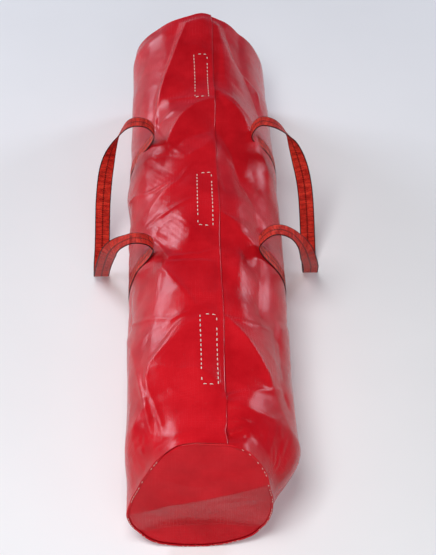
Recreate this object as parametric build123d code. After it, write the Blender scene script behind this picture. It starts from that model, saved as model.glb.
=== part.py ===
from build123d import *
import math
import os

# Carry bag for a dog agility tunnel: coated fabric shell, lap closure, two webbing handles.
# Frame: X across the bag, Y along it (near end at -Y), Z up, origin on the floor at mid length.
# All sizes in millimetres.

# ---- driving dimensions -------------------------------------------------------------------
LENGTH = 1030.0          # end panel to end panel
HALF_WIDTH = 122.5       # filled bag at its widest
HALF_DEPTH = 108.0       # vertical half axis of the filled section
CENTRE_Z = 103.0         # the floor flattens the section's lowest 5 mm
SHEET = 1.0              # coated fabric
THREAD = 0.4             # height of a thread line above its sheet
THREAD_WIDTH = 0.8

WEB_WIDTH = 25.0         # polyester webbing
WEB = 1.5
STRAP_Y = {"near": -105.0, "far": 177.0}
STRAP_EXIT_X = 91.5      # where the webbing leaves the bag's shoulder
ARCH_TOP = (105.0, 222.0)        # top of the webbing's turn, the handle's bending line
HANDLE_GAP = 3.8         # between the bending line and the fixed arch

OUTER_FOLD_X = -70.0     # the outer flap folds here, on the left shoulder
INNER_FOLD_X = 40.0      # the inner flap folds here, on the right shoulder
OUTER_EDGE_X = 21.0      # free edge of the outer flap
INNER_EDGE_X = -21.0     # free edge of the inner flap, tucked underneath
HEM_WIDTH = 45.0
HEM = 0.8                # folded-under layer of the outer flap

TAPE_WIDTH = 25.0        # hook and loop tape
TAPE_LENGTH = 134.0
TAPE = 1.0
TAPE_GAP = 0.3           # between the hook face and the loop face
TAPE_PITCH = 332.0
TAPE_MIDDLE_Y = -13.0
STITCH_WIDTH = 22.0      # stitched rectangle round each tape
STITCH_LENGTH = 130.0

FOLD_CLEARANCE = 0.3     # between a fold's round edge and the sheet beside it

# Depths below the bag's outer surface, from the outer flap down.
HEM_TOP = SHEET
HOOK_TOP = HEM_TOP + HEM
LOOP_TOP = HOOK_TOP + TAPE + TAPE_GAP
INNER_TOP = LOOP_TOP + TAPE

TAPE_Y = {
    "near": TAPE_MIDDLE_Y - TAPE_PITCH,
    "middle": TAPE_MIDDLE_Y,
    "far": TAPE_MIDDLE_Y + TAPE_PITCH,
}

os.makedirs("parts", exist_ok=True)


def save(name, shape):
    solids = shape.solids()
    made = solids[0] if len(solids) == 1 else Compound(children=solids)
    export_step(made, f"parts/{name}.step")


# ---- the bag's section --------------------------------------------------------------------
def surface_z(x, depth=0.0):
    """Height of the upper surface at x, or of the surface `depth` below it."""
    return CENTRE_Z + (HALF_DEPTH - depth) * math.sqrt(1 - (x / (HALF_WIDTH - depth)) ** 2)


def oval(depth):
    """The section's outline, `depth` inside the outer surface, cut flat by the floor."""
    face = Plane.XZ * Pos(0, CENTRE_Z) * Ellipse(HALF_WIDTH - depth, HALF_DEPTH - depth)
    return extrude(face, amount=LENGTH, both=True) & above(depth)


def above(z):
    return Pos(0, 0, z) * Box(600, 4 * LENGTH, 600, align=(Align.CENTER, Align.CENTER, Align.MIN))


def slab(x0, x1, y0, y1, z0=-50.0, z1=300.0):
    return Pos((x0 + x1) / 2, (y0 + y1) / 2, (z0 + z1) / 2) * Box(x1 - x0, y1 - y0, z1 - z0)


def layer(top, bottom):
    """The skin between two depths."""
    return oval(top) - oval(bottom)


def roof(x0, x1, top, bottom, y0=-LENGTH / 2, y1=LENGTH / 2):
    """A strip of that skin on the top of the bag."""
    return layer(top, bottom) & slab(x0, x1, y0, y1, z0=CENTRE_Z)


def rod(x, z, radius, y0=-LENGTH / 2, y1=LENGTH / 2):
    """A bar along Y."""
    return extrude(Plane.XZ.offset(-y1) * Pos(x, z) * Circle(radius), amount=y1 - y0)


# ---- fold lines and bending lines -----------------------------------------------------------
OUTER_FOLD = (OUTER_FOLD_X, surface_z(OUTER_FOLD_X, SHEET / 2))
INNER_FOLD = (INNER_FOLD_X, surface_z(INNER_FOLD_X, SHEET / 2))
FOLD_CUT = SHEET / 2 + FOLD_CLEARANCE
STRAP_GROOVE_X = 80.0    # the webbing presses a shallow seat into the sheet up to here
SEAT_SLACK = 0.1         # beside the webbing, in that seat


def strap_band(side, top, bottom, end_x, extra=0.0):
    """A band round the sides and the underside, in one strap's plane."""
    half = WEB_WIDTH / 2 + extra
    y = STRAP_Y[side]
    band = layer(top, bottom) & slab(-200, 200, y - half, y + half)
    return band - slab(-end_x, end_x, y - 50, y + 50, z0=CENTRE_Z)


# ---- body sheet: underside and both sides, open along the top ------------------------------
outside = oval(0)
inside = oval(SHEET)
for side in STRAP_Y:
    outside -= strap_band(side, -1, WEB, STRAP_GROOVE_X, SEAT_SLACK)
    inside -= strap_band(side, -1, WEB + SHEET, STRAP_GROOVE_X - SHEET, SEAT_SLACK + SHEET)
body = (outside - inside) & slab(-200, 200, -LENGTH / 2, LENGTH / 2)
body -= slab(OUTER_FOLD_X, INNER_FOLD_X, -LENGTH, LENGTH, z0=CENTRE_Z)
body -= rod(*OUTER_FOLD, FOLD_CUT, -LENGTH, LENGTH)
body -= rod(*INNER_FOLD, FOLD_CUT, -LENGTH, LENGTH)

# The sheet is kept as strips along the bag that meet face to face, each turning through a
# small angle of the section, measured at its centre from +X.
STRIP_ANGLES = (39.0, 141.0, 180.0, 220.0, 247.0, 293.0, 320.0, 360.0, 399.0)


def sector(start, end):
    """A wedge of space round the section's centre line."""
    corners = [(0.0, CENTRE_Z)]
    for angle in (start, (start + end) / 2, end):
        turn = math.radians(angle)
        corners.append((400 * math.cos(turn), CENTRE_Z + 400 * math.sin(turn)))
    return extrude(Plane.XZ * make_face(Polyline(*corners, close=True)), amount=LENGTH, both=True)


strips = []
for start, end in zip(STRIP_ANGLES, STRIP_ANGLES[1:]):
    for solid in (body & sector(start, end)).solids():
        strips.append(solid)
save("body_sheet", Compound(children=strips))

# ---- end panels: set inside the body sheet, with the flaps lying over their top edges ------
flap_room = layer(-1, INNER_TOP + SHEET + 0.5) & slab(
    OUTER_FOLD_X - 2, INNER_FOLD_X + 2, -LENGTH, LENGTH, z0=CENTRE_Z
)
panel_outline = oval(SHEET) - flap_room
near_y, far_y = -LENGTH / 2, LENGTH / 2
save("near_end_panel", panel_outline & slab(-200, 200, near_y, near_y + SHEET))
save("far_end_panel", panel_outline & slab(-200, 200, far_y - SHEET, far_y))

# Thread line that joins each end panel to the sheet's turned edge.
SEAM_INSET = 7.0
thread_ring = layer(SEAM_INSET, SEAM_INSET + THREAD_WIDTH) - slab(-200, 200, -LENGTH, LENGTH, z0=185)
save("near_end_stitching", thread_ring & slab(-200, 200, near_y - THREAD, near_y))
save("far_end_stitching", thread_ring & slab(-200, 200, far_y, far_y + THREAD))

# ---- girth straps: sewn flat down one side, under the bag and up the other ------------------
for side, y in STRAP_Y.items():
    save(f"{side}_girth_strap", strap_band(side, 0, WEB, STRAP_EXIT_X))
    half = THREAD_WIDTH / 2
    thread = layer(-THREAD, 0) & slab(-200, 200, y - half, y + half, z0=12)
    save(f"{side}_strap_stitching", thread - slab(-STRAP_EXIT_X, STRAP_EXIT_X, y - 5, y + 5))

# ---- outer flap, with its folded hem and the hook tapes under it ----------------------------
outer = roof(OUTER_FOLD_X, OUTER_EDGE_X, 0, SHEET) + rod(*OUTER_FOLD, SHEET / 2)
save("outer_flap", outer)
save("outer_flap_hem", roof(OUTER_EDGE_X - HEM_WIDTH, OUTER_EDGE_X, HEM_TOP, HOOK_TOP))
for place, y in TAPE_Y.items():
    ends = (y - TAPE_LENGTH / 2, y + TAPE_LENGTH / 2)
    sides = (-TAPE_WIDTH / 2, TAPE_WIDTH / 2)
    save(f"hook_tape_{place}", roof(*sides, HOOK_TOP, HOOK_TOP + TAPE, *ends))
    save(f"loop_tape_{place}", roof(*sides, LOOP_TOP, LOOP_TOP + TAPE, *ends))
    w, n = STITCH_WIDTH / 2, STITCH_LENGTH / 2
    frame = roof(-w, w, -THREAD, 0, y - n, y + n)
    frame -= slab(-w + THREAD_WIDTH, w - THREAD_WIDTH, y - n + THREAD_WIDTH, y + n - THREAD_WIDTH)
    save(f"tape_stitching_{place}", frame)

# ---- inner flap: flat under the tapes, rising to its fold on the right shoulder -------------
LEVEL_END_X = 23.0
inner = roof(INNER_EDGE_X, LEVEL_END_X, INNER_TOP, INNER_TOP + SHEET)
level_z = surface_z(LEVEL_END_X, INNER_TOP)
ramp = Plane.XZ * make_face(
    Polyline(
        (LEVEL_END_X, level_z),
        (INNER_FOLD[0], INNER_FOLD[1] + SHEET / 2),
        (INNER_FOLD[0], INNER_FOLD[1] - SHEET / 2),
        (LEVEL_END_X, level_z - SHEET),
        close=True,
    )
)
inner += extrude(ramp, amount=LENGTH / 2, both=True)
inner += rod(*INNER_FOLD, SHEET / 2)
save("inner_flap", inner)


# ---- webbing ---------------------------------------------------------------------------------
def ribbon(points, turns):
    """Webbing through `points`; `turns` gives its twist in degrees, 0 where its width lies
    along Y and 90 where it lies across the bag."""
    curve = Spline(*points)
    sections = []
    for point, turn in zip(points, turns):
        along = curve % curve.param_at_point(Vector(*point))
        angle = math.radians(turn)
        width = Vector(-math.sin(angle), math.cos(angle), 0)
        width = (width - along * width.dot(along)).normalized()
        plane = Plane(origin=point, x_dir=width, z_dir=along)
        sections.append(plane * Rectangle(WEB_WIDTH, WEB))
    return loft(sections)


# Fixed arch: the webbing leaves the shoulder along the surface and turns back outward.
ARCH = ((84.0, 182.0), (80.5, 191.5), (81.0, 203.0), (88.0, 215.0), (98.0, 221.0), ARCH_TOP)
EXIT_SLOPE = (-0.69, 0.72)
exit_point = (STRAP_EXIT_X, surface_z(STRAP_EXIT_X, WEB / 2))
arch_line = Spline(exit_point, *ARCH, tangents=[EXIT_SLOPE, (1.0, -0.05)])
arch_strip = Plane.XZ * trace(arch_line, line_width=WEB)
for side, y in STRAP_Y.items():
    arch = Pos(0, y, 0) * extrude(arch_strip, amount=WEB_WIDTH / 2, both=True)
    arch -= rod(*ARCH_TOP, HANDLE_GAP, y - 30, y + 30)
    arch -= slab(STRAP_EXIT_X, 200, y - 30, y + 30, z1=190)
    save(f"right_{side}_arch", arch)
    save(f"left_{side}_arch", mirror(arch, about=Plane.YZ))

# Hanging handle: from the near bending line out, down to the floor and back up to the far one.
NEAR_HALF = (
    (-118, -105, 219), (-132, -104, 207), (-146, -92, 179), (-158, -56, 125), (-167, -13, 66),
)
LOW_PART = ((-172, 20, 22), (-173.5, 46, 5), (-173, 72, 14))
FAR_HALF = (
    (-171, 100, 47), (-166, 131, 97), (-159, 159, 148), (-147, 173, 184), (-132, 177, 207),
    (-118, 177, 219),
)
near_top = (-ARCH_TOP[0], STRAP_Y["near"], ARCH_TOP[1])
far_top = (-ARCH_TOP[0], STRAP_Y["far"], ARCH_TOP[1])
path = [near_top, *NEAR_HALF, *LOW_PART, *FAR_HALF, far_top]
twist = [0, 0, 18, 55, 84, 90, 90, 90, 90, 90, 90, 96, 132, 165, 180, 180]
handle = ribbon(path, twist)
save("left_handle", handle)
save("right_handle", mirror(handle, about=Plane.YZ))
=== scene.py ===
import math

import bmesh
import bpy
import numpy as np
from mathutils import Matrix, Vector
from mathutils.geometry import delaunay_2d_cdt


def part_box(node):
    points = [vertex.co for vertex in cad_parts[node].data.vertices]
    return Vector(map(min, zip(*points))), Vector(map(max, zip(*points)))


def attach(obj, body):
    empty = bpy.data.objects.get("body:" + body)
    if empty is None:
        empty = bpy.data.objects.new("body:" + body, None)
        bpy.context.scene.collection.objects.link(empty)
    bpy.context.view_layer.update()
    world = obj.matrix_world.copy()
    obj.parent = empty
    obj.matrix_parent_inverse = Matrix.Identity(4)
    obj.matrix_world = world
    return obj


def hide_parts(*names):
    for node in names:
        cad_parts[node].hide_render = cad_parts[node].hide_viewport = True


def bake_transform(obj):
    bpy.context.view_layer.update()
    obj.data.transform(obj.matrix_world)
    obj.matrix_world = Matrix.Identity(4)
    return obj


# Soft carry bag for a dog agility tunnel. Lengths are in millimetres until a mesh is made.
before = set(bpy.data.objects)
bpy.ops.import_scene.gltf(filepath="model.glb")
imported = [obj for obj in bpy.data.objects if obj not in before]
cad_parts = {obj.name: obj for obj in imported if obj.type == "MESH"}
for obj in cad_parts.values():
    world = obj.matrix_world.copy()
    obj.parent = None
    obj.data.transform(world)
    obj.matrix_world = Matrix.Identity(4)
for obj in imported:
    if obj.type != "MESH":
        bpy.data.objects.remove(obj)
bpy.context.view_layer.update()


def mm_box(node):
    low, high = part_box(node)
    return np.array(low) * 1000, np.array(high) * 1000


BODY_LOW, BODY_HIGH = mm_box("body_sheet")
HALF_WIDTH = BODY_HIGH[0]
NEAR_Y, FAR_Y = BODY_LOW[1], BODY_HIGH[1]
CENTRE_Z = 103.0
HALF_DEPTH = mm_box("outer_flap")[1][2] - CENTRE_Z
SHEET = 0.9
EDGE_X = mm_box("outer_flap")[1][0]
INNER_X = mm_box("inner_flap")[0][0]


def middle(node, axis):
    low, high = mm_box(node)
    return (low[axis] + high[axis]) / 2


STRAP_Y = {"near": middle("near_girth_strap", 1), "far": middle("far_girth_strap", 1)}
TAPE_Y = {place: middle(f"hook_tape_{place}", 1) for place in ("near", "middle", "far")}


def smooth(t):
    t = np.clip(t, 0.0, 1.0)
    return t * t * (3 - 2 * t)


# ---- the bag's sections ---------------------------------------------------------------------
# Angles run round the section from the top, positive to the right.
ANGLES = np.linspace(-math.pi, math.pi, 721)


def middle_radius(angle):
    r = 1 / np.sqrt((np.sin(angle) / HALF_WIDTH) ** 2 + (np.cos(angle) / HALF_DEPTH) ** 2)
    floor = np.where(np.cos(angle) < -0.2, CENTRE_Z / np.maximum(-np.cos(angle), 1e-3), 1e9)
    return np.minimum(r, floor)


def outline_radius(points, blur):
    """Radius against angle of a drawn outline (x, z), rounded by `blur` degrees."""
    p = np.array(points, float)
    angle = np.arctan2(p[:, 0], p[:, 1] - CENTRE_Z)
    radius = np.hypot(p[:, 0], p[:, 1] - CENTRE_Z)
    order = np.argsort(angle)
    angle, radius = angle[order], radius[order]
    angle = np.concatenate([angle - 2 * math.pi, angle, angle + 2 * math.pi])
    r = np.interp(ANGLES, angle, np.tile(radius, 3))
    reach = int(3 * blur / 0.5)
    kernel = np.exp(-0.5 * (np.arange(-reach, reach + 1) * 0.5 / blur) ** 2)
    wrapped = np.concatenate([r[-reach - 1 : -1], r, r[1 : reach + 1]])
    return np.convolve(wrapped, kernel / kernel.sum(), mode="valid")


NEAR_OUTLINE = outline_radius(
    [(-45, 209), (-68, 189), (-89, 155), (-102, 125), (-114, 91), (-119, 74), (-113, 43),
     (-100, 21), (-81, 9), (-57, 4), (-27, 1), (4, 2), (33, 8), (58, 18), (74, 36), (81, 60),
     (83, 92), (80, 120), (77, 137), (71, 166), (61, 182), (48, 198), (25, 210), (0, 211)],
    3.0,
)
FAR_OUTLINE = outline_radius(
    [(6, 214), (-20, 207), (-52, 194), (-74, 178), (-97, 159), (-111, 139), (-118, 99), (-121, 60),
     (-118, 25), (-95, 4), (-40, 0), (40, 0), (95, 4), (118, 27), (119, 60), (117, 85),
     (104, 127), (70, 169), (30, 205)],
    2.5,
)

fine = np.linspace(-math.pi, math.pi, 2881)
fine_x = middle_radius(fine) * np.sin(fine)
fine_z = CENTRE_Z + middle_radius(fine) * np.cos(fine)
steps = np.hypot(np.diff(fine_x), np.diff(fine_z))
fine_s = np.concatenate([[0.0], np.cumsum(steps)])
fine_s -= np.interp(0.0, fine, fine_s)
HALF_ROUND = fine_s[-1]


def s_at_x(x):
    """Distance round the section, from the top centre line, to x on the upper surface."""
    top = np.abs(fine) < 1.4
    return float(np.interp(x, fine_x[top], fine_s[top]))


def base_point(s, y):
    """The smooth surface, before any crease, at distance s round it and y along it."""
    angle = np.interp(s, fine_s, fine)
    r = middle_radius(angle)
    near = 1 - smooth((y - NEAR_Y) / 75)
    far = smooth((y - 150) / (FAR_Y - 150)) ** 1.5
    r_near = np.interp(angle, ANGLES, NEAR_OUTLINE)
    r_far = np.interp(angle, ANGLES, FAR_OUTLINE)
    r = r + near * (r_near - r) + far * (r_far - r)
    x = r * np.sin(angle)
    z = CENTRE_Z + r * np.cos(angle)
    return np.stack([x, y + 0 * x, z], axis=-1)


# ---- creases --------------------------------------------------------------------------------
# Corners of the flat facets that the stiff sheet breaks into: (s, y, height).
CORNERS = {
    "a1": (-14, 505, 2), "a2": (-40, 420, 5), "a3": (-60, 340, 4), "a4": (-84, 272, 3),
    "a5": (-95, 440, -1), "a6": (-130, 350, 1), "a7": (-30, 330, -2), "a8": (8, 400, 3),
    "b1": (12, 250, 2), "b2": (-24, 200, 4), "b3": (-60, 146, 2), "b4": (-22, 290, -2),
    "b5": (-100, 200, -2), "b6": (10, 165, -2), "b7": (-110, 140, 3),
    "c1": (-57, 128, 3), "c2": (-22, 90, 4), "c3": (-36, 48, 2), "c4": (-90, 30, 1),
    "c5": (-175, 142, 0), "c6": (12, 60, 1), "c7": (-70, 85, -3),
    "d1": (-13, 20, 2), "d2": (-105, -31, -1), "d3": (-11, -28, 1), "d4": (-110, -4, 3),
    "d5": (-60, -50, 3), "d6": (-17, -95, 2), "d7": (10, -85, -2), "d8": (-110, -75, 0),
    "e1": (-65, -99, -2), "e2": (-25, -150, -3), "e3": (16, -133, -1), "e4": (-108, -125, 3),
    "f1": (-60, -150, 2), "f2": (-60, -222, 1), "f3": (14, -158, 2), "f4": (-17, -262, -2),
    "f5": (-84, -284, 2), "f6": (-105, -190, -2), "f7": (14, -230, 1),
    "g1": (-83, -352, 3), "g2": (-19, -298, 3), "g3": (-15, -440, 1), "g4": (-50, -400, -3),
    "g5": (-102, -340, -1), "g6": (-66, -490, 2), "g7": (-91, -420, 0), "g8": (14, -340, -1),
    "g9": (-135, -300, 2), "g10": (-125, -440, 3), "g11": (-175, -205, 2), "g12": (-170, -380, -1),
    "h1": (26, 500, 3), "h2": (57, 390, 4), "h3": (90, 440, -2), "h4": (126, 350, 3),
    "h5": (30, 340, -2), "h6": (80, 300, -2), "h7": (24, 273, 3), "h8": (74, 196, 3),
    "h9": (120, 250, -2), "h10": (40, 210, -3), "h11": (30, 120, -1), "h12": (78, 65, -2),
    "h13": (80, 130, 2), "h14": (118, 110, 0), "h15": (35, 10, 1), "h16": (70, 10, 3),
    "i1": (35, -52, 3), "i2": (74, -98, 3), "i3": (50, -110, -2), "i4": (90, -40, -2),
    "i5": (120, -30, 2), "i6": (40, -200, 1), "i7": (90, -180, 2), "i8": (120, -230, -2),
    "i9": (24, -286, 2), "i10": (87, -386, 3), "i11": (50, -380, -2), "i12": (110, -320, 0),
    "i13": (40, -440, 6), "i14": (85, -462, 2), "i15": (30, -490, -5), "i16": (62, -486, -4),
    "i17": (133, -241, 2), "i18": (133, -440, 2), "i19": (24, -400, -1), "i20": (100, -490, 0),
    "p1": (104, -100, 3), "p2": (-104, -112, 3), "p3": (104, 172, 3), "p4": (-104, 177, 3),
}
CREASES = [
    ("a1", "a2"), ("a2", "a3"), ("a3", "a4"), ("a2", "a5"), ("a3", "a6"), ("a7", "a2"), ("a8", "a1"),
    ("b1", "b2"), ("b2", "b3"), ("b4", "a4"), ("b4", "b1"), ("b3", "b5"), ("b6", "b2"), ("b7", "p4"),
    ("c1", "c2"), ("c2", "c3"), ("c3", "c4"), ("c4", "c5"), ("c1", "b3"), ("c7", "c3"), ("c2", "c6"),
    ("d1", "d2"), ("d1", "d3"), ("d1", "c6"), ("d3", "d4"), ("d5", "d6"), ("d2", "d5"), ("d6", "d7"),
    ("e1", "e2"), ("e2", "e3"), ("e1", "e4"), ("e4", "p2"), ("f1", "f2"), ("f1", "f3"), ("f3", "f7"),
    ("f2", "f4"), ("f4", "f5"), ("f2", "f6"), ("g1", "g2"), ("g2", "g3"), ("g1", "g5"), ("g4", "g1"),
    ("g5", "g7"), ("g7", "g6"), ("g3", "g8"), ("g9", "g10"), ("g9", "g11"), ("g10", "g6"),
    ("h1", "h2"), ("h2", "h4"), ("h2", "h5"), ("h7", "h8"), ("h7", "h5"), ("h8", "p3"), ("h10", "h11"),
    ("h8", "h13"), ("h13", "h12"), ("h12", "h15"), ("h15", "h16"), ("i1", "i2"), ("i2", "p1"),
    ("i3", "i1"), ("i4", "i5"), ("i6", "i7"), ("i9", "i10"), ("i11", "i9"), ("i10", "i14"),
    ("i13", "i14"), ("i15", "i16"), ("i16", "i20"), ("i17", "i18"), ("i12", "i17"),
]
MAP_STEP = 2.0
MAP_S = np.arange(-HALF_ROUND - 4, HALF_ROUND + 6, MAP_STEP)
MAP_Y = np.arange(NEAR_Y - 4, FAR_Y + 6, MAP_STEP)


def facets():
    """Height of the faceted sheet: flat triangles between the corners, folded at the creases."""
    names = list(CORNERS)
    points = [CORNERS[n] for n in names]
    for y in np.linspace(MAP_Y[0] - 2, MAP_Y[-1] + 2, 9):
        for s in (MAP_S[0] - 2, -260.0, 260.0, MAP_S[-1] + 2):
            points.append((s, y, 0.0))
    for s in (-180.0, -95.0, 0.0, 95.0, 180.0):
        points.append((s, MAP_Y[0] - 2, 0.0))
        points.append((s, MAP_Y[-1] + 2, 0.0))
    edges = [(names.index(a), names.index(b)) for a, b in CREASES]
    made = delaunay_2d_cdt([Vector(p[:2]) for p in points], edges, [], 0, 1e-3)
    corners, triangles, source = np.array([tuple(v) for v in made[0]]), made[2], made[3]
    heights = np.zeros(len(corners))
    for i, origin in enumerate(source):
        if origin:
            heights[i] = points[origin[0]][2]
    grid_s, grid_y = np.meshgrid(MAP_S, MAP_Y)
    height = np.zeros_like(grid_s)
    for a, b, c in triangles:
        pa, pb, pc = corners[a], corners[b], corners[c]
        det = (pb[1] - pc[1]) * (pa[0] - pc[0]) + (pc[0] - pb[0]) * (pa[1] - pc[1])
        if abs(det) < 1e-9:
            continue
        i0, i1 = np.searchsorted(MAP_S, [min(pa[0], pb[0], pc[0]), max(pa[0], pb[0], pc[0]) + 1e-6])
        j0, j1 = np.searchsorted(MAP_Y, [min(pa[1], pb[1], pc[1]), max(pa[1], pb[1], pc[1]) + 1e-6])
        gs, gy = grid_s[j0:j1, i0:i1], grid_y[j0:j1, i0:i1]
        wa = ((pb[1] - pc[1]) * (gs - pc[0]) + (pc[0] - pb[0]) * (gy - pc[1])) / det
        wb = ((pc[1] - pa[1]) * (gs - pc[0]) + (pa[0] - pc[0]) * (gy - pc[1])) / det
        wc = 1 - wa - wb
        covered = (wa >= -1e-6) & (wb >= -1e-6) & (wc >= -1e-6)
        part = height[j0:j1, i0:i1]
        part[covered] = (wa * heights[a] + wb * heights[b] + wc * heights[c])[covered]
    return height


# Flat areas between folds, as (lean, outline in (s, y)). A lean of "side" turns the area down
# towards its own side of the bag, "level" turns it up, and "front" turns it to the near end.
AREAS = [
    ("side", [(-36, 505), (-22, 479), (-52, 359), (-76, 271), (-92, 217), (-98, 251), (-78, 333),
              (-54, 425)]),
    ("front", [(-162, 505), (-42, 515), (-54, 431), (-78, 347), (-98, 289), (-102, 249), (-156, 317)]),
    ("level", [(-18, 487), (16, 497), (12, 253), (-20, 261), (-76, 273), (-52, 359)]),
    ("side", [(-80, 273), (-28, 261), (14, 247), (-12, 225), (-38, 191), (-60, 155), (-80, 207)]),
    ("level", [(-4, 233), (14, 225), (20, 157), (4, 161), (-22, 165), (-52, 157), (-34, 197)]),
    ("side", [(-30, 155), (4, 159), (16, 143), (2, 115), (-22, 103), (-52, 129)]),
    ("front", [(18, 435), (30, 505), (38, 381), (40, 291), (20, 255), (14, 259)]),
    ("side", [(26, 515), (44, 515), (64, 435), (92, 377), (112, 331), (124, 275), (86, 225), (66, 231),
              (34, 267), (24, 279), (40, 321), (40, 415)]),
    ("front", [(22, 263), (40, 237), (56, 217), (76, 189), (108, 139), (124, 117), (104, 59), (90, 99),
               (60, 53), (52, 113), (36, 147), (22, 185), (14, 225)]),
    ("side", [(16, 197), (32, 159), (50, 113), (54, 101), (68, 57), (84, 5), (98, -33), (72, -75),
              (46, -63), (22, -47), (20, 39), (20, 117)]),
    ("side", [(52, -131), (92, -125), (84, -247), (24, -269), (22, -217), (42, -191)]),
    ("front", [(22, -279), (90, -389), (16, -423)]),
    ("side", [(22, -271), (38, -277), (110, -261), (130, -275), (126, -349), (94, -387), (56, -331)]),
    ("side", [(20, -433), (34, -419), (124, -375), (136, -399), (96, -443), (48, -449), (26, -445)]),
    ("level", [(-82, -355), (-50, -321), (-12, -285), (20, -271), (16, -407), (-14, -383), (-42, -377)]),
    ("front", [(-78, -361), (-42, -379), (-14, -385), (16, -411), (16, -437), (-14, -445), (-50, -413)]),
    ("side", [(-82, -355), (-64, -315), (-44, -283), (-26, -283), (-48, -303), (-64, -329)]),
    ("side", [(-176, -205), (-126, -283), (-104, -361), (-90, -427), (-104, -437), (-124, -459),
              (-174, -435)]),
    ("level", [(-54, -141), (18, -137), (14, -273), (-20, -259), (-64, -161)]),
    ("side", [(-162, -141), (-74, -151), (-62, -169), (-22, -259), (-48, -275), (-144, -225)]),
    ("side", [(-78, -51), (-38, -43), (-20, -81), (-24, -113), (-48, -105), (-84, -67)]),
    ("side", [(-176, 95), (-94, 41), (-38, 55), (-56, 29), (-94, -9), (-166, 41)]),
    ("level", [(-176, 143), (-146, 139), (-84, 135), (-20, 87), (-38, 45), (-84, 31), (-176, 103)]),
]
# Thin raised creases: (height, line in (s, y)).
RIDGES = [
    (1.6, [(-20, 83), (-38, 45), (-52, 27)]),
    (1.6, [(-18, -13), (-68, -29), (-104, -31)]),
    (1.8, [(24, -127), (-10, -143), (-54, -139), (-78, -91), (-94, -63)]),
    (1.6, [(-64, -161), (-38, -211), (-18, -259)]),
    (1.6, [(-18, -259), (-26, -273), (-50, -277), (-158, -211)]),
    (1.4, [(-82, -127), (-70, -179), (-76, -211)]),
    (1.8, [(-82, -355), (-90, -379), (-76, -435), (-64, -487)]),
    (1.4, [(-78, -365), (-50, -413), (-14, -443), (16, -437)]),
    (1.8, [(-104, -361), (-90, -427), (-86, -481)]),
    (1.2, [(-22, -493), (-42, -499), (-64, -491)]),
    (2.2, [(-36, 505), (-22, 479), (-52, 359), (-86, 259), (-92, 217)]),
    (1.6, [(14, 481), (16, 403), (18, 283)]),
    (1.6, [(24, 275), (40, 243), (66, 217), (80, 189)]),
    (1.5, [(18, 199), (36, 143), (54, 101)]),
    (1.6, [(22, -47), (36, -59), (54, -85), (76, -97)]),
    (1.2, [(60, 53), (80, 15), (90, -15)]),
    (1.6, [(62, 399), (92, 377), (126, 357), (130, 311)]),
    (1.5, [(22, -275), (56, -331), (90, -389)]),
    (1.2, [(22, -279), (62, -279), (110, -261)]),
    (1.4, [(18, -437), (30, -423), (90, -397), (124, -371)]),
    (1.2, [(26, -445), (54, -451), (96, -447), (128, -409)]),
    (2.0, [(18, -469), (40, -469), (58, -471)]),
    (-2.2, [(22, -507), (38, -499), (68, -477)]),
    (1.4, [(-76, 273), (-28, 261), (14, 251)]),
    (1.4, [(-60, 155), (-38, 189), (-8, 229), (14, 243)]),
    (1.5, [(-90, 219), (-66, 225), (-42, 229)]),
    (1.5, [(-88, 215), (-70, 173), (-56, 143), (-26, 101)]),
    (1.5, [(-170, 89), (-94, 39), (-52, 47)]),
    (1.4, [(-102, -37), (-74, -63), (-48, -95)]),
    (1.2, [(28, 11), (22, 39), (20, 77)]),
]


def inside(outline, s, y):
    """Which grid points lie within an outline."""
    found = np.zeros(s.shape, bool)
    for (s0, y0), (s1, y1) in zip(outline, outline[1:] + outline[:1]):
        if y0 != y1:
            crosses = (y0 > y) != (y1 > y)
            found ^= crosses & (s < (s1 - s0) * (y - y0) / (y1 - y0) + s0)
    return found


def leaning():
    """The height whose slopes come nearest to the leans of all the areas."""
    s, y = np.meshgrid(MAP_S, MAP_Y)
    slope_s, slope_y = np.zeros_like(s), np.zeros_like(s)
    for lean, outline in AREAS:
        side = 1 if sum(p[0] for p in outline) < 0 else -1
        area = inside(outline, s, y)
        slope_s[area] = {"side": 0.30, "level": -0.22, "front": -0.05}[lean] * side
        slope_y[area] = {"side": -0.10, "level": 0.04, "front": 0.28}[lean]
    pad = 60
    slope_s, slope_y = np.pad(slope_s, pad), np.pad(slope_y, pad)
    ks = np.fft.fftfreq(slope_s.shape[1], MAP_STEP) * 2 * math.pi
    ky = np.fft.fftfreq(slope_s.shape[0], MAP_STEP) * 2 * math.pi
    ks, ky = np.meshgrid(ks, ky)
    square = ks**2 + ky**2 + (2 * math.pi / 300) ** 2
    turned = -1j * (ks * np.fft.fft2(slope_s) + ky * np.fft.fft2(slope_y)) / square
    return np.real(np.fft.ifft2(turned))[pad:-pad, pad:-pad]


def ridges():
    s, y = np.meshgrid(MAP_S, MAP_Y)
    height = np.zeros_like(s)
    for peak, line in RIDGES:
        best = np.full(s.shape, 1e9)
        ends = np.ones_like(s)
        for (s0, y0), (s1, y1) in zip(line, line[1:]):
            length = math.hypot(s1 - s0, y1 - y0)
            t = np.clip(((s - s0) * (s1 - s0) + (y - y0) * (y1 - y0)) / length**2, 0, 1)
            best = np.minimum(best, np.hypot(s - s0 - t * (s1 - s0), y - y0 - t * (y1 - y0)))
        for s0, y0 in (line[0], line[-1]):
            ends = np.minimum(ends, 0.35 + np.hypot(s - s0, y - y0) / 30)
        height += peak * ends * np.clip(1 - best / 8, 0, 1) ** 1.6
    return height


def blurred(field, sigma):
    reach = max(1, int(3 * sigma))
    kernel = np.exp(-0.5 * (np.arange(-reach, reach + 1) / sigma) ** 2)
    kernel /= kernel.sum()
    padded = np.pad(field, reach, mode="edge")
    rows = np.apply_along_axis(lambda r: np.convolve(r, kernel, mode="valid"), 1, padded)
    return np.apply_along_axis(lambda c: np.convolve(c, kernel, mode="valid"), 0, rows)


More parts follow.
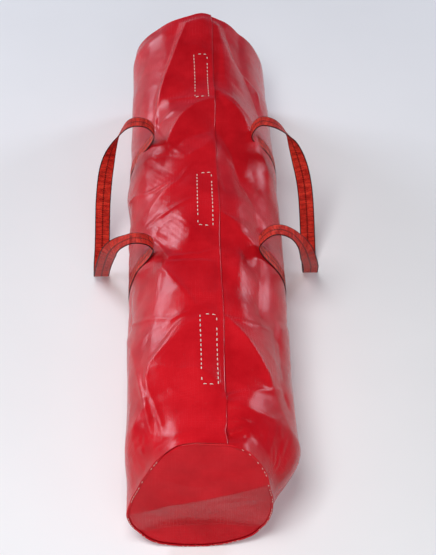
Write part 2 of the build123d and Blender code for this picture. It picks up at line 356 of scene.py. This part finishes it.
def noise(u, v, seed):
    """Gradient noise, about -0.7 to 0.7, one cell to a unit."""
    rng = np.random.RandomState(seed)
    turn = rng.rand(64, 64) * 2 * math.pi
    iu, iv = np.floor(u).astype(int), np.floor(v).astype(int)
    fu, fv = u - iu, v - iv
    total = np.zeros_like(u)
    wu, wv = smooth(fu), smooth(fv)
    for du in (0, 1):
        for dv in (0, 1):
            a = turn[(iu + du) % 64, (iv + dv) % 64]
            dot = np.cos(a) * (fu - du) + np.sin(a) * (fv - dv)
            total = total + dot * (wu if du else 1 - wu) * (wv if dv else 1 - wv)
    return total


def bump(s, y, s0, y0, rs, ry):
    """1 at (s0, y0), falling to 0 over rs round and ry along."""
    return np.exp(-(((s - s0) / rs) ** 2) - ((y - y0) / ry) ** 2)


def relief_map():
    s, y = np.meshgrid(MAP_S, MAP_Y)
    height = blurred(0.8 * facets() + 1.6 * leaning(), 0.6) + ridges()
    top = smooth((230 - np.abs(s)) / 60)
    # crumples: short sharp creases, stronger on top
    crumple = np.abs(noise(s / 60 + 0.3 * noise(s / 30, y / 30, 5), y / 85, 11)) * -2.0
    crumple += np.abs(noise(s / 26, y / 34 + 7, 12)) * -0.6
    crumple += noise(s / 90, y / 120, 13) * 1.5
    height += (crumple + 1.2) * (0.45 + 0.55 * top)
    # low sides bulge over the floor and sag between the handles
    height += 2.5 * noise(s / 70 + 3, y / 160, 14)
    # fine ripples where the woven core shows through the coating
    ripple = np.sin((s * 0.55 + y * 0.35) * 1.25 + 2.5 * noise(s / 35, y / 35, 15))
    zone = bump(s, y, -45, -70, 40, 50) + bump(s, y, 62, -185, 34, 75) + bump(s, y, 60, 250, 30, 60)
    zone = zone + 0.6 * bump(s, y, -70, 60, 30, 60) + 0.7 * bump(s, y, -120, 300, 40, 60)
    height += 0.22 * ripple * np.clip(zone, 0, 1)
    # crumpled cloth where the sheet is gathered into the near seam
    gathers = bump(s, y, 122, -492, 36, 26) + 0.8 * bump(s, y, 52, -486, 24, 14)
    gathers = gathers + 0.7 * bump(s, y, -118, -480, 34, 26) + 0.5 * bump(s, y, -66, -498, 20, 10)
    height += 4.5 * np.abs(noise(s / 13 + 4, y / 11, 31)) * np.clip(gathers, 0, 1)
    height += 9 * bump(s, y, 158, -478, 34, 26)
    # a pocket under the end of the closure, with a steep far edge
    past = y - np.interp(s, [22, 66], [-486, -470])
    deep = 9 * smooth((s - 18) / 8) * smooth((70 - s) / 44)
    height -= deep * np.where(past < 0, np.clip(1 + past / 24, 0, 1), np.clip(1 - past / 3, 0, 1))
    # seats of the sewn straps
    for strap in STRAP_Y.values():
        seat = smooth((15.5 - np.abs(y - strap)) / 3) * smooth((np.abs(s) - 92) / 6)
        height -= 0.8 * seat
    # quieter underneath and along the sheet's ends
    height *= 0.25 + 0.75 * smooth((HALF_ROUND - 30 - np.abs(s)) / 60)
    height *= 0.35 + 0.65 * smooth((FAR_Y - 6 - np.abs(y)) / 26)
    return height


RELIEF = relief_map()


def relief(s, y):
    u = np.clip((s - MAP_S[0]) / MAP_STEP, 0, len(MAP_S) - 1.001)
    v = np.clip((y - MAP_Y[0]) / MAP_STEP, 0, len(MAP_Y) - 1.001)
    i, j = u.astype(int), v.astype(int)
    fu, fv = u - i, v - j
    low = RELIEF[j, i] * (1 - fu) + RELIEF[j, i + 1] * fu
    high = RELIEF[j + 1, i] * (1 - fu) + RELIEF[j + 1, i + 1] * fu
    return low * (1 - fv) + high * fv


def pushed(point):
    """The near end slumps: it swells out half way up, tucks in low down and lips out again."""
    x, y, z = point[..., 0], point[..., 1], point[..., 2]
    swell = np.interp(x, [-112, -60, 11, 80], [74, 104, 127, 142])
    tuck = np.interp(x, [-95, -69, 11, 69], [27, 35, 38, 31])
    belly = 1 - 0.75 * np.clip(np.abs(x) / 112, 0, 1) ** 2
    above = 23 * belly * np.clip((214 - z) / (214 - swell), 0, 1)
    under = -26 * belly * np.clip((swell - z) / (swell - tuck), 0, 1)
    lip = 9 * np.clip((tuck - z) / tuck, 0, 1)
    share = smooth((NEAR_Y + 70 - y) / 70)
    return np.stack([x, y - (above + under + lip) * share, z], axis=-1)


def skin(s, y, depth=0.0):
    """Points of the bag's outer surface, or `depth` below it, and the outward normals."""
    s, y = np.broadcast_arrays(np.asarray(s, float), np.asarray(y, float))
    across = base_point(s + 1.5, y) - base_point(s - 1.5, y)
    along = base_point(s, y + 1.5) - base_point(s, y - 1.5)
    normal = np.cross(across, along)
    normal /= np.linalg.norm(normal, axis=-1, keepdims=True)
    point = base_point(s, y) + normal * (relief(s, y) - depth)[..., None]
    point[..., 2] = np.maximum(point[..., 2], 0.3 + np.maximum(0, -np.asarray(depth)))
    return pushed(point), normal


# ---- meshes ---------------------------------------------------------------------------------
def grid_mesh(name, points, uv, flip=False):
    """A quad grid through points[m, n] with texture coordinates in metres."""
    m, n = points.shape[:2]
    index = np.arange(m * n).reshape(m, n)
    quads = np.stack([index[:-1, :-1], index[1:, :-1], index[1:, 1:], index[:-1, 1:]], axis=-1)
    quads = quads.reshape(-1, 4)
    if flip:
        quads = quads[:, ::-1]
    return raw_mesh(name, points.reshape(-1, 3), quads, uv.reshape(-1, 2))


def raw_mesh(name, points, faces, uv):
    mesh = bpy.data.meshes.new(name)
    mesh.from_pydata((np.asarray(points) / 1000).tolist(), [], [list(map(int, f)) for f in faces])
    layer = mesh.uv_layers.new(name="metres")
    loops = np.zeros(len(mesh.loops), np.int32)
    mesh.loops.foreach_get("vertex_index", loops)
    layer.data.foreach_set("uv", (np.asarray(uv)[loops] / 1000).astype(np.float32).ravel())
    mesh.polygons.foreach_set("use_smooth", np.ones(len(mesh.polygons), bool))
    mesh.update()
    obj = bpy.data.objects.new(name, mesh)
    bpy.context.scene.collection.objects.link(obj)
    return obj


def thicken(obj, thickness):
    solid = obj.modifiers.new("thickness", "SOLIDIFY")
    solid.thickness = thickness / 1000
    solid.offset = -1.0
    return obj


def surface_patch(name, s_values, y_values, depth=0.0):
    s, y = np.meshgrid(s_values, y_values, indexing="ij")
    points, _ = skin(s, y, depth + 0 * s)
    return grid_mesh(name, points, np.stack([s, y], axis=-1))


def spline(points, step):
    """Evenly spaced points on a smooth curve through `points`; extra columns ride along."""
    p = np.array(points, float)
    chord = np.linalg.norm(np.diff(p[:, :3], axis=0), axis=1) ** 0.5
    t = np.concatenate([[0.0], np.cumsum(chord)])
    slopes = np.zeros_like(p)
    secant = np.diff(p, axis=0) / chord[:, None]
    slopes[1:-1] = (secant[:-1] * chord[1:, None] + secant[1:] * chord[:-1, None]) / (
        chord[:-1] + chord[1:]
    )[:, None]
    slopes[0], slopes[-1] = secant[0], secant[-1]
    dense = []
    for i, h in enumerate(chord):
        u = np.linspace(0, 1, 40, endpoint=i == len(chord) - 1)[:, None]
        dense.append(
            (2 * u**3 - 3 * u**2 + 1) * p[i] + (u**3 - 2 * u**2 + u) * h * slopes[i]
            + (3 * u**2 - 2 * u**3) * p[i + 1] + (u**3 - u**2) * h * slopes[i + 1]
        )
    dense = np.concatenate(dense)
    run = np.concatenate([[0], np.cumsum(np.linalg.norm(np.diff(dense[:, :3], axis=0), axis=1))])
    even = np.linspace(0, run[-1], max(4, int(run[-1] / step) + 1))
    return np.stack([np.interp(even, run, dense[:, k]) for k in range(p.shape[1])], axis=1), even


def frames(path):
    tangent = np.gradient(path, axis=0)
    return tangent / np.linalg.norm(tangent, axis=1, keepdims=True)


WEB_PROFILE = [(-12.5, 0.25), (-12.1, 0.62), (-10.8, 0.75), (-8, 0.7), (-4, 0.7), (-0.6, 0.7), (0, 0.55),
               (0.6, 0.7), (4, 0.7), (8, 0.7), (10.8, 0.75), (12.1, 0.62), (12.5, 0.25)]


def webbing(name, path, width_dir, run):
    """Flat webbing: `width_dir` says which way its width lies at each point."""
    tangent = frames(path)
    width_dir = width_dir - tangent * np.sum(width_dir * tangent, axis=1, keepdims=True)
    width_dir /= np.linalg.norm(width_dir, axis=1, keepdims=True)
    face = np.cross(tangent, width_dir)
    ring = WEB_PROFILE + [(a, -b) for a, b in reversed(WEB_PROFILE)]
    points, uv = [], []
    for a, b in ring:
        points.append(path + width_dir * a + face * b)
        uv.append(np.stack([np.full(len(path), a), run], axis=1))
    points, uv = np.stack(points), np.stack(uv)
    m, n = points.shape[:2]
    index = np.arange(m * n).reshape(m, n)
    following = np.roll(index, -1, axis=0)
    quads = np.stack([index[:, :-1], following[:, :-1], following[:, 1:], index[:, 1:]], axis=-1)
    faces = quads.reshape(-1, 4).tolist()
    faces.append(index[::-1, 0].tolist())
    faces.append(index[:, -1].tolist())
    return raw_mesh(name, points.reshape(-1, 3), faces, uv.reshape(-1, 2))


# One stitch, as (share of its length, share of its width, lift in widths).
STITCH_SHAPE = [(0.0, 0.35, -0.35), (0.14, 0.9, 0.05), (0.5, 1.0, 0.2), (0.86, 0.9, 0.05),
                (1.0, 0.35, -0.35)]


def thread(name, stitches, width):
    """Sewn stitches: each is a short rounded bar (start, end, normal), sunk at both ends."""
    points, faces, uv = [], [], []
    for start, end, normal in stitches:
        along = end - start
        length = np.linalg.norm(along)
        along = along / length
        side = np.cross(normal, along)
        first = len(points)
        for t, size, lift in STITCH_SHAPE:
            for k in range(6):
                turn = k * math.pi / 3
                offset = side * math.cos(turn) * width / 2 + normal * math.sin(turn) * width / 3
                points.append(start + along * t * length + normal * (lift * width) + offset * size)
                uv.append((k * 0.2, t * length))
        for j in range(4):
            for k in range(6):
                a, b = first + j * 6 + k, first + j * 6 + (k + 1) % 6
                faces.append([a, b, b + 6, a + 6])
        faces.append([first + k for k in range(5, -1, -1)])
        faces.append([first + 24 + k for k in range(6)])
    return raw_mesh(name, np.array(points), faces, np.array(uv))


def stitch_line(path, normals, length, gap, start=0.0, uneven=0.0):
    """Cuts a sewn line into stitches of `length` with `gap` between."""
    rng = np.random.RandomState(len(path))
    run = np.concatenate([[0], np.cumsum(np.linalg.norm(np.diff(path, axis=0), axis=1))])
    made, at = [], start
    while at + length < run[-1]:
        ends = [np.array([np.interp(v, run, path[:, k]) for k in range(3)]) for v in (at, at + length)]
        normal = np.array([np.interp(at + length / 2, run, normals[:, k]) for k in range(3)])
        if rng.rand() >= uneven:
            made.append((ends[0], ends[1], normal / np.linalg.norm(normal)))
        at += (length + gap) * (1 + uneven * (rng.rand() - 0.5))
    return made


# ---- materials ------------------------------------------------------------------------------
class Nodes:
    """Small helper round one material's node tree."""

    def __init__(self, name):
        self.material = bpy.data.materials.new(name)
        self.material.use_nodes = True
        self.tree = self.material.node_tree
        self.shader = self.tree.nodes["Principled BSDF"]
        uv = self.tree.nodes.new("ShaderNodeUVMap")
        uv.uv_map = "metres"
        self.uv = uv.outputs[0]

    def add(self, kind, inputs=(), **settings):
        node = self.tree.nodes.new(kind)
        for key, value in settings.items():
            setattr(node, key, value)
        for key, value in dict(inputs).items():
            self.put(node.inputs[key], value)
        return node

    def put(self, socket, value):
        if isinstance(value, bpy.types.NodeSocket):
            self.tree.links.new(value, socket)
        else:
            socket.default_value = value

    def math(self, operation, a, b=0.0, c=0.0):
        return self.add("ShaderNodeMath", {0: a, 1: b, 2: c}, operation=operation).outputs[0]

    def stretched(self, scale, turn=0.0):
        node = self.add("ShaderNodeMapping", {"Vector": self.uv, "Scale": (*scale, 1.0)})
        node.inputs["Rotation"].default_value = (0, 0, turn)
        return node.outputs[0]

    def noise(self, scale, detail=3.0, rough=0.5, vector=None, distortion=0.0):
        node = self.add("ShaderNodeTexNoise", {"Scale": scale, "Detail": detail, "Roughness": rough})
        node.inputs["Distortion"].default_value = distortion
        self.put(node.inputs["Vector"], vector or self.uv)
        return node.outputs["Fac"]

    def wave(self, scale, direction="X", vector=None, distortion=0.0):
        node = self.add("ShaderNodeTexWave", {"Scale": scale, "Distortion": distortion})
        node.bands_direction = direction
        self.put(node.inputs["Vector"], vector or self.uv)
        return node.outputs["Fac"]

    def ramp(self, fac, stops):
        node = self.add("ShaderNodeValToRGB", {"Fac": fac})
        elements = node.color_ramp.elements
        while len(elements) < len(stops):
            elements.new(0.5)
        for element, (position, colour) in zip(elements, stops):
            element.position = position
            element.color = (*colour, 1.0)
        return node.outputs["Color"]

    def level(self, fac, low, high, a, b):
        node = self.add("ShaderNodeMapRange", {"Value": fac})
        for key, value in (("From Min", low), ("From Max", high), ("To Min", a), ("To Max", b)):
            self.put(node.inputs[key], value)
        return node.outputs["Result"]

    def mix(self, fac, a, b):
        node = self.add("ShaderNodeMix", data_type="RGBA")
        self.put(node.inputs[0], fac)
        for socket, value in ((node.inputs[6], a), (node.inputs[7], b)):
            self.put(socket, value if isinstance(value, bpy.types.NodeSocket) else (*value, 1.0))
        return node.outputs[2]

    def bump(self, height, distance, strength=1.0, under=None):
        node = self.add("ShaderNodeBump", {"Height": height, "Distance": distance, "Strength": strength})
        if under is not None:
            self.put(node.inputs["Normal"], under)
        return node.outputs["Normal"]

    def finish(self, **values):
        for key, value in values.items():
            name = key.replace("_", " ")
            socket = self.shader.inputs[name]
            if isinstance(value, tuple) and len(value) == 3 and socket.type == "RGBA":
                value = (*value, 1.0)
            self.put(socket, value)
        return self.material


def coated_fabric():
    n = Nodes("coated_fabric")
    patch = n.noise(14.0, 4.0, 0.6)
    colour = n.ramp(patch, [(0.3, (0.42, 0.004, 0.009)), (0.62, (0.56, 0.009, 0.016))])
    weave = n.math("MULTIPLY", n.wave(125.0, "X", None, 1.5), n.wave(125.0, "Y", None, 1.5))
    scuff = n.noise(60.0, 6.0, 0.7, distortion=0.5)
    colour = n.mix(n.level(scuff, 0.62, 0.8, 0.0, 0.25), colour, (0.62, 0.05, 0.06))
    rough = n.math("ADD", n.level(patch, 0.3, 0.7, 0.14, 0.22), n.level(weave, 0.0, 1.0, 0.0, 0.06))
    scrim = n.math("MULTIPLY", n.wave(58.0, "X", None, 3.0), n.wave(66.0, "Y", None, 3.0))
    grain = n.math("MULTIPLY", scrim, n.level(n.noise(220.0, 4.0, 0.7), 0.35, 0.65, 0.2, 1.0))
    rough = n.math("ADD", rough, n.level(grain, 0.0, 0.6, 0.05, -0.04))
    fine = n.bump(weave, 0.0004, 0.25)
    orange = n.bump(n.noise(330.0, 3.0, 0.6), 0.0006, 0.4, fine)
    soft = n.bump(n.noise(75.0, 3.0, 0.55), 0.0005, 0.3, orange)
    n.shader.inputs["Specular IOR Level"].default_value = 0.45
    n.shader.inputs["IOR"].default_value = 1.24
    return n.finish(Base_Color=colour, Roughness=rough, Normal=soft)


def strap_webbing():
    n = Nodes("strap_webbing")
    split = n.add("ShaderNodeSeparateXYZ", {0: n.uv})
    across = n.math("ABSOLUTE", split.outputs[0])
    edge = n.level(across, 0.0106, 0.0113, 0.0, 1.0)
    centre = n.level(across, 0.0013, 0.0008, 0.0, 1.0)
    dash = n.level(n.wave(100.0, "Y"), 0.15, 0.35, 0.0, 1.0)
    # painted shade: dark bands across the webbing stand in for the shade between its gloss bands
    cross = n.level(n.wave(44.0, "Y", None, 4.0), 0.0, 0.2, 0.3, 0.0)
    # the dark mask: the dark edge lines and the centre stitch dashes, together with the painted shade bands
    dark = n.math("MAXIMUM", n.math("MAXIMUM", edge, cross), n.math("MULTIPLY", centre, dash))
    weft = n.wave(480.0, "Y")
    warp = n.wave(620.0, "X", n.stretched((1, 1), 0.5))
    weave = n.math("MULTIPLY", weft, warp)
    # painted highlight and painted shade: this noise drives the ramp below from dark red up to a bright
    # orange-red, painting gloss bands into the webbing's colour on top of its weave
    painted_gloss = n.noise(110.0, 5.0, 0.65, n.stretched((0.5, 1.2)))
    red_with_painted_gloss = n.ramp(n.math("ADD", n.math("MULTIPLY", weave, 0.4), n.math("MULTIPLY", painted_gloss, 0.6)),
                 [(0.22, (0.2, 0.002, 0.003)), (0.34, (0.62, 0.012, 0.01)), (0.52, (1.0, 0.09, 0.05))])
    colour = n.mix(dark, red_with_painted_gloss, (0.03, 0.002, 0.004))
    bands = n.noise(95.0, 3.0, 0.6, n.stretched((0.25, 1.6)))
    rough = n.math("ADD", n.level(weave, 0.0, 1.0, 0.16, 0.0), n.level(bands, 0.35, 0.65, 0.22, 0.36))
    ribs = n.bump(weave, 0.0005, 0.8, n.bump(bands, 0.008, 1.0))
    n.shader.inputs["Specular IOR Level"].default_value = 0.14
    n.shader.inputs["Specular Tint"].default_value = (1.0, 0.5, 0.4, 1.0)
    n.shader.inputs["Anisotropic"].default_value = 0.4
    return n.finish(Base_Color=colour, Roughness=rough, Normal=ribs)


def tape_material(name, hooks):
    n = Nodes(name)
    cell = n.add("ShaderNodeTexVoronoi", {"Vector": n.uv, "Scale": 900.0 if hooks else 1400.0})
    fuzz = n.noise(1300.0 if not hooks else 600.0, 4.0, 0.8)
    height = n.math("ADD", cell.outputs["Distance"], n.math("MULTIPLY", fuzz, 0.6))
    colour = n.ramp(fuzz, [(0.3, (0.30, 0.004, 0.01)), (0.75, (0.55, 0.02, 0.03))])
    normal = n.bump(height, 0.0006, 1.0)
    n.shader.inputs["Sheen Weight"].default_value = 0.2 if hooks else 0.6
    return n.finish(Base_Color=colour, Roughness=n.level(fuzz, 0.2, 0.8, 0.6, 0.9), Normal=normal)


def thread_material(name, light, dark):
    n = Nodes(name)
    ply = n.wave(900.0, "Y", n.stretched((1, 1), 0.6))
    colour = n.ramp(n.noise(500.0, 2.0), [(0.3, dark), (0.7, light)])
    rough = n.level(ply, 0, 1, 0.45, 0.65)
    return n.finish(Base_Color=colour, Roughness=rough, Normal=n.bump(ply, 0.0002, 0.8))


FABRIC = coated_fabric()
WEBBING = strap_webbing()
HOOK = tape_material("hook_face", True)
LOOP = tape_material("loop_face", False)
WHITE_THREAD = thread_material("white_thread", (0.82, 0.78, 0.70), (0.62, 0.55, 0.46))
RED_THREAD = thread_material("red_thread", (0.55, 0.02, 0.03), (0.35, 0.01, 0.02))
BLACK_THREAD = thread_material("black_thread", (0.03, 0.008, 0.01), (0.012, 0.003, 0.004))


def dress(obj, material):
    obj.data.materials.append(material)
    return obj


# ---- the two halves of the sheet ----------------------------------------------------------------
S_EDGE = s_at_x(EDGE_X)
S_INNER = s_at_x(INNER_X)
S_EXIT = s_at_x(91.5)  # where the webbing leaves the sheet for the arches
THREAD_STOP = 285.0
STEP = 2.2
TURN = 3.0


def sheet_rows(s_values, turned, depth=0.0):
    """Grid of one half of the sheet, with its ends turned in over the end panels."""
    y_values = np.linspace(NEAR_Y, FAR_Y, int((FAR_Y - NEAR_Y) / STEP) + 1)
    s, y = np.meshgrid(s_values, y_values, indexing="ij")
    d = depth(s, y) if callable(depth) else depth + 0 * s
    points, normals = skin(s, y, d)
    parts, uvs = [points], [np.stack([s, y], axis=-1)]
    for end, sign in ((0, -1.0), (-1, 1.0)):
        rim, inward = points[:, end], -normals[:, end]
        inward[:, 1] = 0
        reach = turned(s_values)[:, None]
        rows, uv = [], []
        for t, out in ((0.04, 0.35), (0.12, 0.6), (0.4, 0.75), (0.7, 0.75), (1.0, 0.7)):
            row = rim + inward * TURN * t * reach
            row[:, 1] += sign * out * np.minimum(1, 0.4 + reach[:, 0])
            rows.append(row)
            uv.append(np.stack([s_values, y_values[end] + sign * TURN * t * reach[:, 0]], axis=-1))
        rows, uv = np.stack(rows, axis=1), np.stack(uv, axis=1)
        if sign < 0:
            rows, uv = rows[:, ::-1], uv[:, ::-1]
            parts.insert(0, rows)
            uvs.insert(0, uv)
        else:
            parts.append(rows)
            uvs.append(uv)
    return np.concatenate(parts, axis=1), np.concatenate(uvs, axis=1)


def turned_left(s):
    return 0.12 + 0.88 * smooth((-60 - s) / 25)


def turned_right(s):
    return 0.12 + 0.88 * smooth((s - 24) / 14)


INNER_DEPTH = 3.6


def inner_depth(s, y):
    return INNER_DEPTH * smooth((54 - s) / 30)


left_s = np.linspace(-HALF_ROUND, S_EDGE, int((HALF_ROUND + S_EDGE) / STEP) + 1)
right_s = np.linspace(S_INNER, HALF_ROUND, int((HALF_ROUND - S_INNER) / STEP) + 1)
left_sheet = grid_mesh("left_sheet", *sheet_rows(left_s, turned_left))
right_sheet = grid_mesh("right_sheet", *sheet_rows(right_s, turned_right, inner_depth))
for obj in (left_sheet, right_sheet):
    dress(obj, FABRIC)
    thicken(obj, SHEET)

# hem: the outer flap's edge is folded under
hem = surface_patch("outer_flap_hem_fold", np.linspace(S_EDGE - 45, S_EDGE - 0.4, 20),
                    np.linspace(NEAR_Y + 1, FAR_Y - 1, 420), SHEET + 0.05)
dress(hem, FABRIC)
thicken(hem, 0.7)

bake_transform(left_sheet)
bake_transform(right_sheet)
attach(hem, "outer_flap")
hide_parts("outer_flap", "body_sheet")
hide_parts("inner_flap")
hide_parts("outer_flap_hem")

# ---- closure tapes and their stitching -----------------------------------------------------------
for place, y in TAPE_Y.items():
    across = np.linspace(-12.5, 12.5, 12)
    along = np.linspace(y - 67, y + 67, 60)
    hook = surface_patch(f"hook_tape_{place}_pile", across, along, SHEET + 0.8)
    loop = surface_patch(f"loop_tape_{place}_pile", across, along, INNER_DEPTH - 0.85)
    dress(thicken(hook, 0.8), HOOK)
    dress(thicken(loop, 0.8), LOOP)
    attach(hook, "outer_flap")
    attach(loop, "inner_flap")
    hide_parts(f"hook_tape_{place}")
    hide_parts(f"loop_tape_{place}")
    stitches = []
    corners = [(-11, y - 65), (11, y - 65), (11, y + 65), (-11, y + 65), (-11, y - 65)]
    for (s0, y0), (s1, y1) in zip(corners, corners[1:]):
        count = max(8, int(abs(s1 - s0) + abs(y1 - y0)))
        line, normal = skin(np.linspace(s0, s1, count), np.linspace(y0, y1, count))
        stitches += stitch_line(line, normal, 5.6, 3.6, 1.2, uneven=0.12)
    sewn = dress(thread(f"tape_stitches_{place}", stitches, 1.6), WHITE_THREAD)
    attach(sewn, "outer_flap")
    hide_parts(f"tape_stitching_{place}")

# ---- end panels ------------------------------------------------------------------------------------
for end, y_end, sign in (("near", NEAR_Y, -1.0), ("far", FAR_Y, 1.0)):
    s_ring = np.linspace(-HALF_ROUND, HALF_ROUND, 181)
    rim = base_point(s_ring, y_end + 0 * s_ring)
    centre = np.array([0.0, y_end, CENTRE_Z])
    share = np.concatenate([[0.0004], np.linspace(0.02, 0.93, 60), [0.955, 0.985]])
    rows, uv = [], []
    for t in share:
        p = centre + (rim - centre) * t
        x, z = p[:, 0], p[:, 2]
        slack = smooth((1 - t) / 0.35)
        height = 1.6 * noise(x / 60 + 9, z / 34 + 3, 21) - 1.6 * np.abs(noise(x / 75 + 2, z / 30 + 8, 22))
        if end == "far":
            height = height * 2 + 8 * slack
        p[:, 1] = y_end - sign * 0.4
        p = pushed(p)
        p[:, 1] += sign * height * slack
        p[:, 2] = np.maximum(p[:, 2], 1.2)
        rows.append(p)
        uv.append(np.stack([x, z], axis=-1))
    panel = grid_mesh(f"{end}_end_cloth", np.stack(rows), np.stack(uv), flip=sign < 0)
    joined = bmesh.new()
    joined.from_mesh(panel.data)
    bmesh.ops.remove_doubles(joined, verts=joined.verts, dist=1e-4)
    joined.to_mesh(panel.data)
    joined.free()
    dress(thicken(panel, 0.8), FABRIC)
    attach(panel, "bag")
    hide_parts(f"{end}_end_panel")
    s_line = np.concatenate([np.linspace(30, HALF_ROUND, 220), np.linspace(-HALF_ROUND, -68, 200)])
    points, normal = skin(s_line, y_end + 0 * s_line)
    inward = -normal
    inward[:, 1] = 0
    line = points + inward * 1.8
    line[:, 1] += sign * 1.15
    facing = np.tile([0.0, sign, 0.0], (len(line), 1))
    material = WHITE_THREAD if end == "near" else RED_THREAD
    sewn = thread(f"{end}_end_stitches", stitch_line(line, facing, 3.0, 3.4, uneven=0.4), 0.9)
    dress(sewn, material)
    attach(sewn, "bag")
    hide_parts(f"{end}_end_stitching")

# ---- webbing -----------------------------------------------------------------------------------------
# (x, y, z, turn): turn 0 has the width along the bag, 90 across it.
LEFT_NEAR = [(-84, -106, 190, 0), (-80.5, -107, 203, 0), (-88, -110, 215, 0), (-99, -112, 221, 0),
             (-112, -112, 221, 2), (-126, -110, 213, 8), (-137, -104, 200, 22), (-148, -89, 175, 50),
             (-158, -55, 125, 80), (-165, -23, 80, 89), (-171, 16, 30, 90)]
LEFT_LOW = [(-173.5, 46, 8, 90)]
LEFT_FAR = [(-174, 73, 10, 90), (-172.5, 86, 24, 90), (-171, 101, 46, 90), (-168, 131, 97, 93),
            (-162, 155, 138, 108), (-155, 167, 163, 128), (-146, 175, 184, 148), (-136, 180, 200, 164),
            (-124, 181, 215, 175), (-112, 180, 221, 180), (-99, 179, 221, 180), (-88, 179, 215, 180),
            (-80.5, 177, 203, 180), (-84, 177, 190, 180)]
RIGHT_NEAR = [(84, -105, 190, 0), (81, -105, 203, 0), (89, -102, 214, 0), (101, -99, 221, 0),
              (115, -98, 221, -2), (130, -100, 215, -6), (142, -99, 200, -20), (152, -93, 177, -45),
              (160, -78, 145, -72), (168, -40, 95, -88), (172, -5, 60, -90)]
RIGHT_LOW = [(175, 35, 14, -90), (175.5, 58, 8, -90)]
RIGHT_FAR = [(175, 76, 18, -90), (174, 90, 42, -90), (172, 110, 82, -90), (170, 128, 108, -92),
             (166, 142, 132, -100), (160, 155, 153, -112), (152, 165, 175, -130), (144, 171, 192, -148),
             (134, 172, 206, -162), (121, 173, 217, -174), (108, 175, 221.5, -180), (96, 178, 220, -180),
             (87, 178, 213, -180), (81, 174, 203, -180), (84, 177, 190, -180)]


def seated(y, sign):
    """The sewn part: from the middle of the underside up the side to where it leaves."""
    s = sign * np.linspace(HALF_ROUND - 2, S_EXIT + 8, 90)
    points, _ = skin(s, y + 0 * s, -0.55)
    return points


def handle(side, sign, near, low, far):
    free = np.array([*near, *low, *far], float)
    up = seated(STRAP_Y["near"], sign)
    down = seated(STRAP_Y["far"], sign)[::-1]
    start = np.concatenate([up[::6], np.zeros((len(up[::6]), 1))], axis=1)
    stop = np.concatenate([down[::6], np.full((len(down[::6]), 1), 180.0 * -sign)], axis=1)
    path, run = spline(np.concatenate([start, free, stop]), 2.0)
    turn = np.radians(path[:, 3])
    width_dir = np.stack([-np.sin(turn), np.cos(turn), 0 * turn], axis=1)
    made = webbing(f"{side}_handle_webbing", path[:, :3], width_dir, run)
    dress(made, WEBBING)
    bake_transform(made)
    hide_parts(f"{side}_handle", f"{side}_near_arch", f"{side}_far_arch")
    return made


handle("left", -1, LEFT_NEAR, LEFT_LOW, LEFT_FAR)
handle("right", 1, RIGHT_NEAR, RIGHT_LOW, RIGHT_FAR)

# sewn lines along both edges of the straps where they lie on the sheet
for side, y in STRAP_Y.items():
    stitches = []
    for sign in (-1, 1):
        for offset in (-10.2, 10.2):
            s = sign * np.linspace(S_EXIT + 12, THREAD_STOP, 220)
            line, normal = skin(s, y + offset + 0 * s, -1.3)
            stitches += stitch_line(line, normal, 2.6, 1.2)
    sewn = thread(f"{side}_strap_stitches", stitches, 0.6)
    dress(sewn, BLACK_THREAD)
    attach(sewn, "bag")
    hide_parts(f"{side}_strap_stitching", f"{side}_girth_strap")

# ---- floor, light and camera -----------------------------------------------------------------------------
floor = raw_mesh(
    "floor", [(-6000, -6000, -0.2), (6000, -6000, -0.2), (6000, 9000, -0.2), (-6000, 9000, -0.2)],
    [[0, 1, 2, 3]], [(0, 0), (12000, 0), (12000, 15000), (0, 15000)],
)
n = Nodes("pale_floor")
floor.data.materials.append(
    n.finish(Base_Color=n.ramp(n.noise(3.0), [(0.3, (0.72, 0.72, 0.73)), (0.7, (0.75, 0.75, 0.76))]),
             Roughness=0.9, Emission_Color=(1.0, 1.0, 1.0), Emission_Strength=0.12)
)

world = bpy.data.worlds.new("studio")
bpy.context.scene.world = world
world.use_nodes = True
sky = world.node_tree
sky_place = sky.nodes.new("ShaderNodeTexCoord")
sky_split = sky.nodes.new("ShaderNodeSeparateXYZ")
sky_ramp = sky.nodes.new("ShaderNodeValToRGB")
sky.links.new(sky_place.outputs["Generated"], sky_split.inputs[0])
sky.links.new(sky_split.outputs[2], sky_ramp.inputs[0])
sky.links.new(sky_ramp.outputs[0], sky.nodes["Background"].inputs[0])
sky_ramp.color_ramp.elements[0].position = 0.30
sky_ramp.color_ramp.elements[0].color = (0.16, 0.2, 0.3, 1)
sky_ramp.color_ramp.elements[1].position = 0.50
sky_ramp.color_ramp.elements[1].color = (0.03, 0.03, 0.03, 1)


def softbox(name, place, size, power, colour=(1.0, 1.0, 1.0)):
    data = bpy.data.lights.new(name, "AREA")
    data.shape = "RECTANGLE"
    data.size, data.size_y = size
    data.energy = power
    data.color = colour
    obj = bpy.data.objects.new(name, data)
    bpy.context.scene.collection.objects.link(obj)
    obj.location = place
    obj.rotation_euler = (Vector((0, 0, 0.1)) - Vector(place)).to_track_quat("-Z", "Y").to_euler()
    return obj


softbox("top", (-0.35, -1.1, 2.0), (0.9, 0.9), 38)
softbox("left_back", (-2.3, 2.0, 1.1), (1.6, 0.5), 58, (0.82, 0.86, 1.0))
softbox("right_back", (2.3, 1.7, 1.0), (1.0, 0.4), 30, (0.82, 0.86, 1.0))
softbox("front", (0.3, -2.6, 1.7), (1.2, 0.8), 12)

camera_data = bpy.data.cameras.new("camera")
camera_data.lens = 100.53
camera_data.sensor_width = 36
camera = bpy.data.objects.new("camera", camera_data)
bpy.context.scene.collection.objects.link(camera)
camera.location = (-0.0263, -1.8782, 1.748)
camera.rotation_euler = (math.pi / 2 - 0.7388, 0, -0.0251)
bpy.context.scene.camera = camera
bpy.context.scene.view_settings.view_transform = "Standard"
